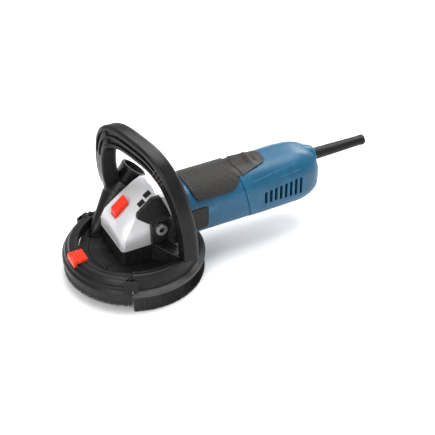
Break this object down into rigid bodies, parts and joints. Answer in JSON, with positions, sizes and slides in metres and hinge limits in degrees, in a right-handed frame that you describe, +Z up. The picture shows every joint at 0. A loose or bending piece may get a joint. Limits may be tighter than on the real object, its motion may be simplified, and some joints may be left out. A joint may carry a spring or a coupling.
{
  "type": "angle grinder",
  "caption": "Corded concrete angle grinder with a cup wheel, dust hood with brush ring, suction duct and bow handle.",
  "frame": {"origin": "centre of the spindle's lower end face, on the spindle axis", "axes": "+X along the motor towards the cord sleeve, +Z up along the spindle away from the work, +Y towards the suction duct"},
  "size_m": [0.3725, 0.158, 0.1668],
  "materials": {
    "blue_plastic": "satin",
    "black_plastic": "satin",
    "soft_grip": "textured matte",
    "red_plastic": "satin",
    "cast_aluminium": "fine cast, satin",
    "bright_steel": "ground",
    "dark_steel": "blackened",
    "copper": "lacquered",
    "carbon": "matte",
    "bristle": "matte",
    "rubber": "matte",
    "diamond_grit": "gritty"
  },
  "bodies": {
    "grinder": {"gear_housing": "cast_aluminium", "bearing_flange": "cast_aluminium", "flange_screw_1": "dark_steel", "flange_screw_2": "dark_steel", "flange_screw_3": "dark_steel", "flange_screw_4": "dark_steel", "spindle_bearing": "bright_steel", "spindle_bush": "bright_steel", "front_bearing": "bright_steel", "rear_bearing": "bright_steel", "stator": "dark_steel", "near_field_coil": "copper", "far_field_coil": "copper", "near_carbon_brush": "carbon", "far_carbon_brush": "carbon", "near_brush_holder": "bright_steel", "far_brush_holder": "bright_steel", "fan_baffle": "black_plastic", "motor_housing": "blue_plastic", "near_side_plate": "black_plastic", "far_side_plate": "black_plastic", "rear_cover": "blue_plastic", "grip_overlay": "soft_grip", "switch_module": "black_plastic", "electronics_module": "black_plastic", "cord_clamp": "black_plastic", "cord_sleeve": "rubber", "hood_body": "black_plastic", "hinge_pin_near": "bright_steel", "hinge_pin_far": "bright_steel", "hood_brush": "bristle", "neck_collar": "black_plastic", "collar_screw": "dark_steel", "suction_duct": "black_plastic", "bow_handle": "black_plastic", "near_bracket": "black_plastic", "far_bracket": "black_plastic", "near_bolt": "dark_steel", "far_bolt": "dark_steel", "lock_spring": "bright_steel"},
    "spindle_set": {"spindle": "bright_steel", "ring_gear": "dark_steel", "inner_flange": "bright_steel", "cup_wheel": "bright_steel", "diamond_ring": "diamond_grit", "clamping_nut": "dark_steel"},
    "armature": {"armature_shaft": "bright_steel", "pinion": "dark_steel", "fan": "black_plastic", "armature_core": "dark_steel", "front_winding": "copper", "rear_winding": "copper", "commutator": "copper"},
    "front_segment": {"front_segment": "black_plastic", "front_brush": "bristle"},
    "front_latch": {"front_latch": "red_plastic"},
    "lock_button": {"lock_button": "red_plastic"},
    "switch_slider": {"switch_slider": "soft_grip"}
  },
  "joints": [
    {"name": "spindle_spin", "type": "hinge", "parent": "grinder", "child": "spindle_set", "pos_m": [0, 0, 0], "axis": [0, 0, 1], "continuous": true},
    {"name": "armature_spin", "type": "hinge", "parent": "grinder", "child": "armature", "pos_m": [0, 0, 0.056], "axis": [1, 0, 0], "continuous": true},
    {"name": "front_segment_flip", "type": "hinge", "parent": "grinder", "child": "front_segment", "pos_m": [-0.0335, 0, 0.026], "axis": [0, 1, 0], "range_deg": [0, 60]},
    {"name": "front_latch_slide", "type": "slide", "parent": "front_segment", "child": "front_latch", "axis": [-1, 0, 0], "range_m": [0, 0.004], "stiffness_N_per_m": 500, "springref_m": -0.001},
    {"name": "lock_button_press", "type": "slide", "parent": "grinder", "child": "lock_button", "axis": [0, 0, -1], "range_m": [0, 0.003], "stiffness_N_per_m": 800, "springref_m": -0.001, "deforming": ["lock_spring"]},
    {"name": "switch_slide", "type": "slide", "parent": "grinder", "child": "switch_slider", "axis": [-1, 0, 0], "range_m": [0, 0.005]}
  ],
  "couplings": [
    {"joint": "armature_spin", "follows": "spindle_spin", "ratio": 3}
  ]
}
